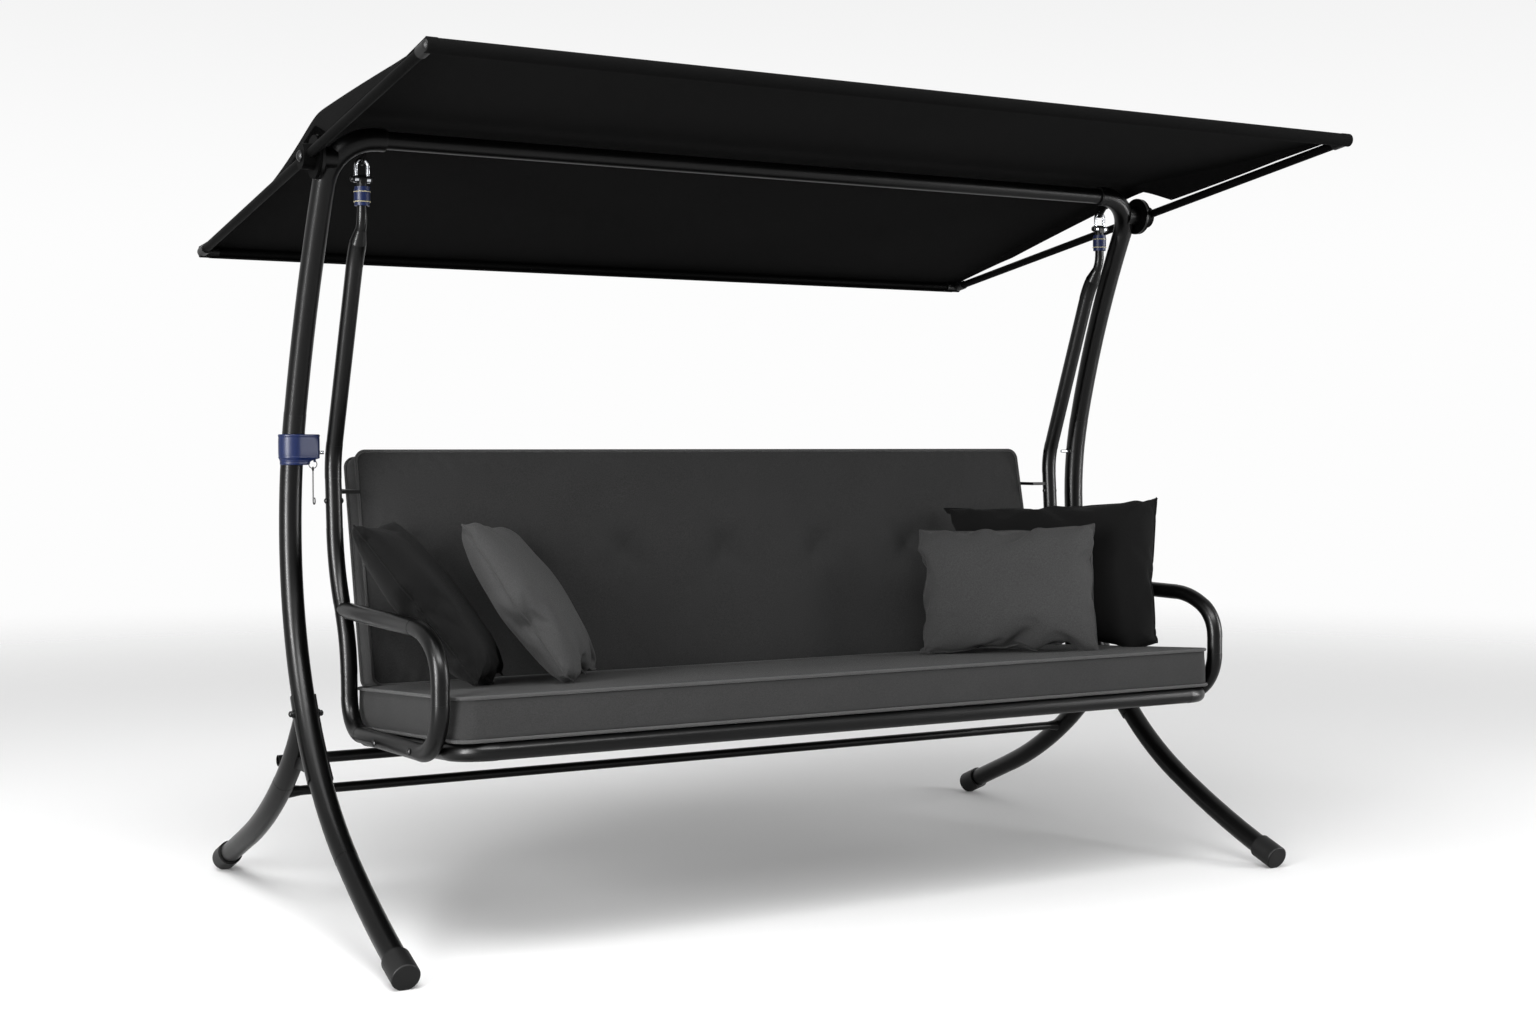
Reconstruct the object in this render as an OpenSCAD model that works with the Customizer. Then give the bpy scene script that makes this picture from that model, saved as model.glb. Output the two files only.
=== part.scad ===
// Free-standing garden swing bench: a bent-tube frame, a bench hung from two
// shackles, a reclining back, loose cushions and a tilting fabric canopy.
// Millimetres, +Z up, the front faces -Y, the origin is on the floor under the middle.

/* [Frame] */
// Distance between the left and right feet
foot_span = 2200; // [1900:10:2600]
// Inward lean of each side frame, degrees
frame_lean = 1.1; // [0:0.1:2]
// Place of the front feet, measured from the middle
front_foot_y = -575; // [-620:5:-540]
// Place of the rear feet, measured from the middle
rear_foot_y = 650; // [640:2:700]
// Outside diameter of the posts and rear legs
post_d = 48; // [40:1:52]
// Wall of the posts and rear legs
post_wall = 2; // [1.5:0.1:3]
// Slope of a post at its foot, degrees from upright
post_foot_a = 70; // [68:1:72]
// Bend radius of the post near the floor
post_low_r = 2300; // [2200:10:2400]
// Bend radius of the middle of the post
post_mid_r = 800; // [760:5:860]
// Bend radius of the top of the post
post_top_r = 2470; // [2300:10:2600]
// Bend radius of the corner where a post turns into the top beam
post_corner_r = 100; // [90:1:130]
// Outside diameter of the top beam
beam_d = 38; // [32:1:42]
// Wall of the top beam
beam_wall = 2; // [1.5:0.1:3]
// Outside diameter of the upper stretcher
upper_stretcher_d = 25; // [20:1:30]
// Outside diameter of the lower stretcher
lower_stretcher_d = 22; // [18:1:26]
// Outside diameter of the rubber foot caps
cap_d = 58; // [56:1:64]

/* [Bench] */
// Distance between the middles of the two side loops
arm_span = 1980; // [1700:10:2000]
// Outside diameter of the arm, loop and seat-frame tubes
arm_d = 36; // [30:1:38]
// Wall of the arm, loop and seat-frame tubes
arm_wall = 1.8; // [1.5:0.1:2.5]
// Length of the straight bottom of a side loop
loop_rail = 370; // [340:5:390]
// Depth of the seat frame, from tube middle to tube middle
seat_depth = 625; // [600:5:640]
// Backward tilt of the seat, degrees
seat_tilt = 4; // [3:0.5:5]
// Backward lean of the back at rest, degrees
back_lean = 12.5; // [10:0.5:15]
// Height of the back frame along its lean, from tube middle to tube middle
back_h = 600; // [520:10:640]
// Outside diameter of the back-frame tube
back_tube_d = 25; // [20:1:28]
// Gap between a side loop and the seat cushion
cushion_side_gap = 12; // [8:1:60]
// Thickness of the seat cushion
seat_cushion_t = 84; // [60:1:84]
// Thickness of the back cushion
back_cushion_t = 78; // [60:1:90]
// Height of the back cushion along its lean
back_cushion_h = 530; // [450:10:560]
// Slats across each of the seat and the back
slat_count = 11; // [7:1:15]

/* [Canopy] */
// Forward slope of the canopy at rest, degrees
canopy_pitch = 8.6; // [5:0.2:12]
// Distance from the tilt axis forward to the front rail
front_reach = 718; // [600:2:760]
// Distance from the tilt axis back to the rear rail
rear_reach = 850; // [700:2:900]
// Height of the fabric ridge over the side tubes
ridge_h = 82; // [80:1:95]
// Outside diameter of the canopy side tubes and rails
rail_d = 20; // [16:1:22]
// Thickness of the fabric
fabric_t = 2; // [1.5:0.1:3]

/* [Fittings] */
// Diameter of the shackle rod
shackle_d = 8; // [6:1:9]
// Height of the swing lock over the floor
lock_z = 1005; // [960:5:1030]
// Diameter of the lock pins
lock_pin_d = 8; // [6:1:10]
// Height of the square scatter pillows
pillow_h = 430; // [380:10:430]

/* [Hidden] */
$fn = 96;

// Each bend of a tube bites this far into the piece before it, and every second
// piece is this much wider, as a drawn bend is, so that the joints stay clean.
bite = 0.6;
swell = 0.8;
// Gap between pieces that seat on each other
seat_gap = 0.1;
// Gap between pieces that turn on each other, across the diameter
run_gap = 0.2;

// ---- Tube paths -------------------------------------------------------------
// A path lies in the YZ plane. It is a list of rows: [length] is straight and
// [radius, angle] is a bend, positive when it turns from +Z towards +Y.
// A place is [y, z, heading], the heading measured from +Z towards +Y.

function walk(rows, p, i = 0) =
  i == len(rows) ? p :
  let (r = rows[i], h = p[2], a = len(r) == 2 ? r[1] : 0, s = sign(a))
  len(r) == 1 ? walk(rows, [p[0] + r[0] * sin(h), p[1] + r[0] * cos(h), h], i + 1) :
  walk(rows, [p[0] + s * r[0] * (cos(h) - cos(h + a)),
              p[1] + s * r[0] * (sin(h + a) - sin(h)), h + a], i + 1);

module at(p) { translate([0, p[0], p[1]]) rotate([-p[2], 0, 0]) children(); }

module ring(d, wall) {
  difference() {
    circle(d = d);
    if (wall > 0) circle(d = d - 2 * wall);
  }
}

// One bend from the origin, starting along +Z and turning towards +Y
module bend(r, a, d, wall, back = 0) {
  mirror([0, a < 0 ? 1 : 0, 0])
    translate([0, r, 0]) rotate([90, 0, -90]) rotate([0, 0, -back])
      rotate_extrude(angle = abs(a) + back) translate([r, 0]) ring(d, wall);
}

module tube(rows, d, wall, i = 0) {
  if (i < len(rows)) {
    row = rows[i];
    fat = i % 2 == 0 ? d : d + swell;
    if (len(row) == 1)
      translate([0, 0, i > 0 ? -bite : 0]) linear_extrude(row[0] + (i > 0 ? bite : 0)) ring(fat, wall);
    else
      bend(row[0], row[1], fat, wall, i > 0 ? asin(bite / row[0]) : 0);
    at(walk([row], [0, 0, 0])) tube(rows, d, wall, i + 1);
  }
}

module bar_x(x0, x1, d) { translate([x0, 0, 0]) rotate([0, 90, 0]) cylinder(d = d, h = x1 - x0); }

module pipe_x(x0, x1, d, wall) {
  translate([x0, 0, 0]) rotate([0, 90, 0]) linear_extrude(x1 - x0) ring(d, wall);
}

module yz(y, z) { translate([0, y, z]) children(); }

module both() {
  children();
  mirror([1, 0, 0]) children();
}

// A domed cap nut or rivet head on a face, pointing along +Z
module dome(d, h) {
  intersection() {
    cylinder(d = d, h = h);
    scale(1) translate([0, 0, h - d * 0.62]) sphere(d = d * 1.24);
  }
}

// ---- Side frames ------------------------------------------------------------
cap_over = 34;
cap_end = 28;
cap_round = 4;
cap_cut = 1.5;
rear_foot_a = 67;
// Height of a tube end whose rounded cap stands on the floor, less a small flat
function foot_lift(a) =
  (cap_d / 2 - cap_round) * sin(a) + (cap_end - cap_round) * cos(a) + cap_round - cap_cut;
front_foot = [front_foot_y, foot_lift(post_foot_a), post_foot_a];
rear_foot = [rear_foot_y, foot_lift(rear_foot_a), -rear_foot_a];
post_low_a = 9;
post_mid_a = 76;
post_top_a = 12;
post_rows = [[post_low_r, -post_low_a], [post_mid_r, -post_mid_a], [post_top_r, -post_top_a]];
post_top = walk(post_rows, front_foot);
// The corner turns the leaning post into a level tube along X
corner_a = acos(sin(frame_lean) * cos(post_top[2]));
corner_roll = atan2(cos(frame_lean), -sin(frame_lean) * sin(post_top[2]));
side_reach = post_corner_r * (1 - cos(corner_a));
rise_reach = post_corner_r * sin(corner_a);
corner_end = [
  -side_reach * sin(corner_roll),
  post_top[0] + rise_reach * sin(post_top[2]) + side_reach * cos(corner_roll) * cos(post_top[2]),
  post_top[1] + rise_reach * cos(post_top[2]) - side_reach * cos(corner_roll) * sin(post_top[2])
];
sleeve_l = 14;
beam_x = foot_span / 2 + corner_end[0] * cos(frame_lean) - corner_end[2] * sin(frame_lean);
beam_y = corner_end[1];
beam_z = corner_end[0] * sin(frame_lean) + corner_end[2] * cos(frame_lean);

function post_x(z) = foot_span / 2 - z * tan(frame_lean);

// Stands the right side frame in place: local X is 0 in the plane of the frame
module side_frame() { translate([foot_span / 2, 0, 0]) rotate([0, -frame_lean, 0]) children(); }

// Solid shape of the post near its top corner, used to fit pieces against it
module post_corner_cut(d) {
  side_frame() at(post_top) rotate([0, 0, corner_roll])
    tube([[post_corner_r, corner_a], [sleeve_l]], d, 0);
}

leg_bolt_d = 8;
leg_bolt_at = walk([[post_low_r, -post_low_a], [post_mid_r, -28]], front_foot);

module right_post_solid() {
  difference() {
    side_frame() {
      at(front_foot) tube(post_rows, post_d, post_wall);
      at(post_top) rotate([0, 0, corner_roll]) {
        bend(post_corner_r, corner_a, post_d + swell, post_wall, asin(bite / post_corner_r));
        at(walk([[post_corner_r, corner_a]], [0, 0, 0]))
          translate([0, 0, -bite]) linear_extrude(sleeve_l + bite) ring(post_d, post_wall);
      }
    }
    side_frame() yz(leg_bolt_at[0], leg_bolt_at[1]) bar_x(-post_d, post_d, leg_bolt_d + run_gap);
  }
}

module left_post() { color("#151515") mirror([1, 0, 0]) right_post_solid(); }
// Only the right post has a hole for its lock pin, in the inner wall
module right_post() {
  color("#151515") difference() {
    right_post_solid();
    yz(lock_y, lock_z) bar_x(post_x(lock_z) - post_d, post_x(lock_z), lock_pin_d + run_gap);
  }
}

beam_in = 40;
module top_beam() {
  color("#151515") yz(beam_y, beam_z)
    pipe_x(-(beam_x - sleeve_l + beam_in), beam_x - sleeve_l + beam_in, beam_d, beam_wall);
}

// Reducing bushes that hold the beam in the wider post ends
module beam_bushes() {
  color("#101010") both() yz(beam_y, beam_z)
    pipe_x(beam_x - sleeve_l - 3, beam_x - sleeve_l, post_d - 1, (post_d - 1 - beam_d - seat_gap) / 2);
}

leg_rows = [[200], [1170, 16], [700, 18]];
module right_rear_leg_solid() {
  difference() {
    side_frame() at(rear_foot) tube(leg_rows, post_d, post_wall);
    post_cut(saddle_d + seat_gap);
  }
}
module left_rear_leg() { color("#151515") mirror([1, 0, 0]) right_rear_leg_solid(); }
module right_rear_leg() { color("#151515") right_rear_leg_solid(); }

// Saddle bolted round the back of the post, with a web plate under the rear leg
saddle_t = 3;
saddle_d = post_d + swell + 2 * seat_gap + 2 * saddle_t;
saddle_from = 16;
saddle_a = 15;
web_t = 5;
saddle_foot = walk([post_rows[0], [post_mid_r, -saddle_from]], front_foot);
web_z = saddle_foot[1] + 4;
web_post_at = walk([post_rows[0], [post_mid_r, -saddle_from - 5]], front_foot);
web_leg_at = walk([leg_rows[0], leg_rows[1], [leg_rows[2][0], 7]], rear_foot);
module right_saddle() {
  difference() {
    union() {
      side_frame() at(walk([post_rows[0], [post_mid_r, -saddle_from]], front_foot))
        mirror([0, 1, 0]) translate([0, post_mid_r, 0]) rotate([90, 0, -90])
          rotate_extrude(angle = saddle_a) translate([post_mid_r, 0]) intersection() {
            circle(d = saddle_d);
            translate([-leg_bolt_d, -post_d]) square([post_d + leg_bolt_d, 2 * post_d]);
          }
      side_frame() rotate([90, 0, 90]) translate([0, 0, -web_t / 2]) linear_extrude(web_t)
        polygon([[saddle_foot[0] + 8, web_z], [web_leg_at[0], web_z],
                 [web_leg_at[0], web_leg_at[1]], [web_post_at[0], web_post_at[1]]]);
    }
    post_cut(post_d + swell + 2 * seat_gap);
    side_frame() at(rear_foot) tube(leg_rows, post_d + swell + seat_gap, 0);
    side_frame() yz(leg_bolt_at[0], leg_bolt_at[1]) bar_x(-post_d, post_d, leg_bolt_d + run_gap);
  }
}
module left_leg_saddle() { color("#1a1a1a") mirror([1, 0, 0]) right_saddle(); }
module right_leg_saddle() { color("#1a1a1a") right_saddle(); }

bolt_reach = saddle_d / 2 + 0.1;
module leg_bolts() {
  color("#2a2a2a") both() side_frame() yz(leg_bolt_at[0], leg_bolt_at[1]) {
    bar_x(-bolt_reach - 1, bolt_reach + 1, leg_bolt_d);
    for (turn = [90, -90])
      rotate([0, turn, 0]) translate([0, 0, bolt_reach]) {
        cylinder(d = 18, h = 1.5);
        translate([0, 0, 1.5]) dome(13, 9);
      }
  }
}

// ---- Stretchers -------------------------------------------------------------
// The upper one lies on the rear legs, the lower one butts between them
upper_leg_at = walk([leg_rows[0], [leg_rows[1][0], leg_rows[1][1]], [700, 2.4]], rear_foot);
upper_lift = (post_d + upper_stretcher_d) / 2 + seat_gap;
upper_y = upper_leg_at[0] + upper_lift * cos(upper_leg_at[2]);
upper_z = upper_leg_at[1] - upper_lift * sin(upper_leg_at[2]);
lower_leg_at = walk([leg_rows[0], [leg_rows[1][0], 13.6]], rear_foot);
stretcher_over = 15;
module upper_stretcher() {
  end = post_x(upper_z) + stretcher_over;
  color("#151515") yz(upper_y, upper_z) pipe_x(-end, end, upper_stretcher_d, 1.5);
}
module lower_stretcher() {
  flare_l = 45;
  x_end = post_x(lower_leg_at[1]);
  color("#151515")
    difference() {
      yz(lower_leg_at[0], lower_leg_at[1]) {
        pipe_x(-x_end + flare_l, x_end - flare_l, lower_stretcher_d, 1.5);
        both() translate([x_end - flare_l - 1, 0, 0]) rotate([0, 90, 0]) difference() {
          cylinder(d1 = lower_stretcher_d + swell, d2 = 36, h = flare_l + 1);
          translate([0, 0, -0.01]) cylinder(d1 = lower_stretcher_d - 3, d2 = 32, h = flare_l + 1.02);
        }
      }
      both() side_frame() at(rear_foot) tube(leg_rows, post_d + swell + 2 * seat_gap, 0);
    }
}

// ---- Feet -------------------------------------------------------------------
cap_fit = 0.35;
module foot_cap() {
  rotate_extrude() difference() {
    union() {
      translate([0, -cap_end]) square([cap_d / 2 - cap_round, cap_end + cap_over]);
      translate([0, -cap_end + cap_round]) square([cap_d / 2, cap_end - cap_round + cap_over]);
      intersection() {
        translate([cap_d / 2 - cap_round, -cap_end + cap_round]) circle(r = cap_round);
        translate([0, -cap_end]) square([cap_d, cap_round]);
      }
    }
    square([post_d / 2 + cap_fit, cap_over + 1]);
  }
}
module foot_caps() {
  color("#0c0c0c") difference() {
    both() side_frame() {
      at(front_foot) foot_cap();
      at(rear_foot) foot_cap();
    }
    translate([-foot_span, -foot_span, -100]) cube([2 * foot_span, 2 * foot_span, 100]);
  }
}

// ---- Hangers ----------------------------------------------------------------
arm_x = arm_span / 2;
hang_y = beam_y + 38;
hang_z = beam_z - 38;
lug_t = 5;
lug_w = 24;
module right_lug() {
  difference() {
    yz(hang_y, hang_z) translate([arm_x - lug_t / 2, 0, 0]) rotate([90, 0, 90]) linear_extrude(lug_t)
      difference() {
        union() {
          circle(d = lug_w);
          rotate(45) translate([1 - lug_w / 2, 0]) square([lug_w - 2, 50]);
        }
        circle(d = shackle_d + 2.4);
      }
    post_corner_cut(post_d + swell + seat_gap);
  }
}
module left_hanger_lug() { color("#202020") mirror([1, 0, 0]) right_lug(); }
module right_hanger_lug() { color("#202020") right_lug(); }

// U-shackle hooked through the lug, with an eye at the end of each leg
shackle_r = 13;
shackle_drop = 41;
shackle_eye_w = shackle_d;
module right_shackle_solid() {
  difference() {
    translate([arm_x, hang_y, hang_z - shackle_r]) {
      rotate([90, 0, 0]) rotate_extrude(angle = 180) translate([shackle_r, 0]) circle(d = shackle_d);
      for (s = [-1, 1]) {
        translate([s * shackle_r, 0, -(shackle_drop - shackle_r)])
          cylinder(d = shackle_d, h = shackle_drop - shackle_r);
        translate([0, 0, -(shackle_drop - shackle_r)])
          bar_x(s * shackle_r - shackle_eye_w / 2, s * shackle_r + shackle_eye_w / 2, 2 * shackle_d);
      }
    }
    yz(hang_y, hang_z - shackle_drop) bar_x(arm_x - 30, arm_x + 30, shackle_d + run_gap);
  }
}
module left_shackle() { color("#c8c8c8") mirror([1, 0, 0]) right_shackle_solid(); }
module right_shackle() { color("#c8c8c8") right_shackle_solid(); }

shackle_half = shackle_r + shackle_eye_w / 2 + 0.3;
module shackle_bolts() {
  color("#303030") both() translate([arm_x, hang_y, hang_z - shackle_drop]) {
    bar_x(-shackle_half - 1, shackle_half + 1, shackle_d);
    rotate([0, -90, 0]) translate([0, 0, shackle_half]) cylinder(d = 13, h = 5, $fn = 6);
    rotate([0, 90, 0]) translate([0, 0, shackle_half]) dome(13, 9);
  }
}

// Eye and stem that carry the arm, and the coloured sleeve round the stem
neck_d = 22;
neck_wall = 3;
stem_l = 45;
head_w = 2 * shackle_r - shackle_eye_w - 1;
module hanger_heads() {
  color("#181818") both() translate([arm_x, hang_y, hang_z - shackle_drop]) difference() {
    union() {
      bar_x(-head_w / 2, head_w / 2, 19);
      translate([0, 0, -stem_l]) cylinder(d = neck_d, h = stem_l - 10);
      intersection() {
        translate([0, 0, -10 - bite]) cylinder(d = neck_d, h = 10);
        translate([-head_w / 2, -9.5, -12]) cube([head_w, 19, 20]);
      }
    }
    bar_x(-20, 20, shackle_d + run_gap);
  }
}
sleeve_top = 16;
sleeve_h = 40;
sleeve_d = 34;
module hanger_sleeves() {
  color("#274a8f") both() translate([arm_x, hang_y, hang_z - shackle_drop - sleeve_top - sleeve_h])
    rotate_extrude() difference() {
      union() {
        square([sleeve_d / 2 - 1, sleeve_h]);
        translate([0, 12]) square([sleeve_d / 2, sleeve_h - 18]);
      }
      square([neck_d / 2 + seat_gap / 2, sleeve_h]);
    }
}

// ---- Arms and side loops ----------------------------------------------------
neck_top = [hang_y, hang_z - shackle_drop - stem_l - seat_gap, 180];
neck_rows = [[26], [60, -34]];
cone_l = 30;
cone_top = walk(neck_rows, neck_top);
arm_top = walk([[cone_l]], cone_top);
arm_straight = 406;
arm_rows = [[8], [200, 13.3], [arm_straight], [180, 24.7]];
arm_end = walk(arm_rows, arm_top);
lock_y = walk([arm_rows[0], arm_rows[1], arm_rows[2], [180, 12]], arm_top)[0];

module right_arm_solid() {
  translate([arm_x, 0, 0]) difference() {
    union() {
      at(neck_top) tube(neck_rows, neck_d, neck_wall);
      at(cone_top) translate([0, 0, -bite]) difference() {
        cylinder(d1 = neck_d + 2 * swell, d2 = arm_d + swell, h = cone_l + 2 * bite);
        translate([0, 0, -0.01])
          cylinder(d1 = neck_d - 2 * neck_wall, d2 = arm_d - 2 * arm_wall, h = cone_l + 2 * bite + 0.02);
      }
      at(arm_top) tube(arm_rows, arm_d, arm_wall);
    }
    yz(lock_y, lock_z) bar_x(-arm_d, arm_d, lock_pin_d + 2);
  }
}
module left_arm() { color("#151515") mirror([1, 0, 0]) right_arm_solid(); }
module right_arm() { color("#151515") right_arm_solid(); }

// The lower tube: down from the arm, under the seat, up the front and back as the armrest
loop_top = [arm_end[0] - seat_gap * sin(arm_end[2] - 180), arm_end[1] - seat_gap, arm_end[2]];
down_rows = [[110], [400, 24], [25], [300, -26], [50], [75, 89.5]];
front_rows = [[loop_rail], [105, 88.5], [40], [85, 60], [200, 29.5]];
loop_bottom = walk(down_rows, loop_top);
rest_start = walk(front_rows, loop_bottom);
rest_join_y = walk([[110], [400, 24], [25]], loop_top)[0] - arm_d / 2 + 4;
rest_l = (rest_join_y - rest_start[0]) / sin(rest_start[2]);
loop_rows = concat(down_rows, front_rows, [[rest_l - 16]]);
// The armrest ends in a slimmer neck that is let into the down tube
rest_neck = [[20 + arm_d / 3]];
module right_loop_solid() {
  difference() {
    translate([arm_x, 0, 0]) {
      at(loop_top) tube(loop_rows, arm_d, arm_wall);
      at(walk([[rest_l - 20]], rest_start)) tube(rest_neck, arm_d - 2.5, arm_wall);
    }
    seat_bolt_places() bar_x(arm_x - arm_d, arm_x + arm_d, seat_bolt_d + run_gap);
    arm_bolt_place() bar_x(arm_x - arm_d, arm_x + arm_d, arm_bolt_d + run_gap);
  }
}
module left_side_loop() { color("#151515") mirror([1, 0, 0]) right_loop_solid(); }
module right_side_loop() { color("#151515") right_loop_solid(); }

// Spigots inside the joint of arm and loop, each with one cross bolt
spigot_l = 70;
arm_bolt_d = 6;
module arm_bolt_place() { at(loop_top) translate([0, 0, 0.7 * spigot_l]) children(); }
module arm_spigots() {
  color("#303030") both() difference() {
    translate([arm_x, 0, 0]) at(loop_top) cylinder(d = arm_d - 2 * arm_wall - seat_gap, h = spigot_l);
    arm_bolt_place() bar_x(arm_x - arm_d, arm_x + arm_d, arm_bolt_d + run_gap);
  }
}
module arm_bolts() {
  color("#303030") both() arm_bolt_place() translate([arm_x, 0, 0]) {
    bar_x(-arm_d / 2 - 1, arm_d / 2 + 1, arm_bolt_d);
    for (turn = [90, -90]) rotate([0, turn, 0]) translate([0, 0, arm_d / 2 + 0.1]) dome(12, 4);
  }
}

// ---- Seat -------------------------------------------------------------------
seat_front_y = -520;
seat_front_z = 424;
seat_corner_r = 70;
seat_w = arm_span - 2 * arm_d - 2 * swell - 0.6;
// Local frame of the seat: X across, +Y back, origin at the middle of the front tube
module on_seat() { translate([0, seat_front_y, seat_front_z]) rotate([-seat_tilt, 0, 0]) children(); }
function seat_to_yz(y, z) = [seat_front_y + y * cos(seat_tilt) + z * sin(seat_tilt),
                             seat_front_z - y * sin(seat_tilt) + z * cos(seat_tilt)];

// A closed tube frame with round corners, its front middle at the origin
module round_frame(w, l, r, d, wall) {
  for (y = [0, l])
    translate([0, y, 0]) pipe_x(-w / 2 + r - bite, w / 2 - r + bite, d, wall);
  for (s = [-1, 1])
    translate([s * w / 2, r - bite, 0]) rotate([-90, 0, 0]) linear_extrude(l - 2 * r + 2 * bite) ring(d, wall);
  for (s = [-1, 1], t = [0, 1])
    translate([s * (w / 2 - r), t == 0 ? r : l - r, 0])
      rotate([0, 0, s > 0 ? (t == 0 ? -90 : 0) : (t == 0 ? 180 : 90)])
        rotate_extrude(angle = 90) translate([r, 0]) ring(d + swell, wall);
}

seat_bolt_d = 8;
// Each bolt passes midway between the middles of the loop and of the seat tube
seat_bolt_y = [150, 360];
loop_slope = 90 + loop_bottom[2];
function loop_z(y) = loop_bottom[1] + (loop_bottom[0] - y) * tan(loop_slope);
module seat_bolt_places() {
  for (along = seat_bolt_y) {
    p = seat_to_yz(along, 0);
    yz(p[0], (p[1] + loop_z(p[0])) / 2) children();
  }
}
module seat_frame() {
  color("#151515") difference() {
    on_seat() round_frame(seat_w, seat_depth, seat_corner_r, arm_d, arm_wall);
    both() seat_bolt_places() bar_x(seat_w / 2 - arm_d, seat_w / 2 + arm_d, seat_bolt_d + run_gap);
  }
}
module seat_bolts() {
  color("#303030") both() seat_bolt_places() {
    bar_x(seat_w / 2 - arm_d / 2 - 2, arm_x + arm_d / 2 + 2, seat_bolt_d);
    translate([seat_w / 2 - arm_d / 2 - 0.5, 0, 0]) rotate([0, -90, 0]) cylinder(d = 14, h = 5, $fn = 6);
    translate([arm_x + arm_d / 2 + 0.5, 0, 0]) rotate([0, 90, 0]) dome(15, 5);
  }
}

slat_w = 34;
slat_t = 4;
slat_edge = 150;
function slat_x(i, w) = -w / 2 + slat_edge + i * (w - 2 * slat_edge) / (slat_count - 1);
module seat_slats() {
  color("#202020") on_seat() for (i = [0:slat_count - 1])
    translate([slat_x(i, seat_w) - slat_w / 2, 0, arm_d / 2 + 0.05]) cube([slat_w, seat_depth, slat_t]);
}

// ---- Back -------------------------------------------------------------------
hinge_gap = 62;
hinge_yz = seat_to_yz(seat_depth + hinge_gap, 1);
back_w = 1790;
back_corner_r = 36;
// Local frame of the back: X across, +Y up the lean, +Z to the rear
module on_back() {
  translate([0, hinge_yz[0], hinge_yz[1]]) rotate([90 - back_lean, 0, 0]) mirror([0, 0, 1]) children();
}
module back_frame() {
  color("#151515") on_back() round_frame(back_w, back_h, back_corner_r, back_tube_d, 1.5);
}
module back_slats() {
  color("#202020") on_back() for (i = [0:slat_count - 1]) difference() {
    translate([slat_x(i, back_w) - slat_w / 2, 0, -1.5]) cube([slat_w, back_h, 3]);
    for (y = [0, back_h]) translate([0, y, 0]) bar_x(-back_w / 2, back_w / 2, back_tube_d + seat_gap);
  }
}
hinge_x = 640;
hinge_block_w = 26;
module back_hinges() {
  rear = seat_to_yz(seat_depth, 0);
  reach = norm(hinge_yz - rear);
  turn = atan2(hinge_yz[1] - rear[1], hinge_yz[0] - rear[0]);
  color("#181818") both() difference() {
    translate([hinge_x - hinge_block_w / 2, 0, 0]) {
      yz(hinge_yz[0], hinge_yz[1]) bar_x(0, hinge_block_w, back_tube_d + 12);
      yz(rear[0], rear[1]) rotate([turn, 0, 0]) translate([0, 0, -11]) cube([hinge_block_w, reach, 22]);
    }
    yz(hinge_yz[0], hinge_yz[1]) bar_x(0, back_w, back_tube_d + run_gap);
    yz(rear[0], rear[1]) bar_x(0, back_w, arm_d + seat_gap);
  }
}

// Short stays that hold the upright back to the arms
stay_up = 554;
stay_rod_d = 5;
stay_pin_l = 34;
stay_pin_yz = [hinge_yz[0] + stay_up * sin(back_lean), hinge_yz[1] + stay_up * cos(back_lean)];
module stay_pins() {
  color("#b0b0b0") both() yz(stay_pin_yz[0], stay_pin_yz[1]) {
    bar_x(back_w / 2 + back_tube_d / 2 + 0.1, back_w / 2 + back_tube_d / 2 + stay_pin_l, 6);
    translate([back_w / 2 + back_tube_d / 2 + stay_pin_l - 3, 0, 0]) bar_x(0, 3, 11);
  }
}
// The rod ends in a jaw that is open to the rear, so that the pin can leave it
stay_arm_y = walk([[(loop_top[1] - stay_pin_yz[1]) / cos(4)]], loop_top)[0];
stay_x = back_w / 2 + back_tube_d / 2 + stay_pin_l - 8;
module stay_links() {
  color("#b0b0b0") both() difference() {
    union() {
      translate([stay_x, 0, stay_pin_yz[1]]) rotate([0, 90, 0])
        translate([0, stay_pin_yz[0], -2]) cylinder(d = 15, h = 4);
      translate([stay_x - 2, stay_arm_y + 6, stay_pin_yz[1] - 4])
        cube([4, stay_pin_yz[0] - stay_arm_y - 10, 8]);
      translate([stay_x - 2, stay_arm_y - 6, stay_pin_yz[1] - 4]) cube([arm_x - stay_x, 12, 8]);
    }
    yz(stay_pin_yz[0], stay_pin_yz[1]) bar_x(0, foot_span, 7);
    translate([0, stay_pin_yz[0], stay_pin_yz[1] - 3.5]) cube([foot_span, 20, 7]);
    translate([0, stay_pin_yz[0], stay_pin_yz[1] - 20]) cube([foot_span, 20, 20]);
    translate([arm_x, 0, 0]) at(loop_top) tube([[110], [400, 24]], arm_d + swell + seat_gap, 0);
  }
}

// ---- Cushions and pillows ---------------------------------------------------
module round_slab(w, l, t, r) {
  translate([r - w / 2, -l / 2, 0]) cube([w - 2 * r, l, t]);
  translate([-w / 2, r - l / 2, 0]) cube([w, l - 2 * r, t]);
  for (x = [-1, 1], y = [-1, 1]) translate([x * (w / 2 - r), y * (l / 2 - r), 0]) cylinder(r = r, h = t);
}
cushion_lift = arm_d / 2 + slat_t + 0.4;
seat_cushion_w = arm_span - arm_d - 2 * cushion_side_gap;
seat_cushion_front = -8;
seat_cushion_l = seat_depth + 11;
module seat_cushion() {
  color("#3c3c3e") on_seat() translate([0, seat_cushion_front + seat_cushion_l / 2, cushion_lift])
    round_slab(seat_cushion_w, seat_cushion_l, seat_cushion_t, 40);
}
back_cushion_w = 1840;
back_cushion_up = 96;
module back_cushion() {
  color("#3c3c3e") on_back()
    translate([-back_cushion_w / 2, back_cushion_up, -back_tube_d / 2 - 0.4 - back_cushion_t])
      cube([back_cushion_w, back_cushion_h, back_cushion_t]);
}

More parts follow.
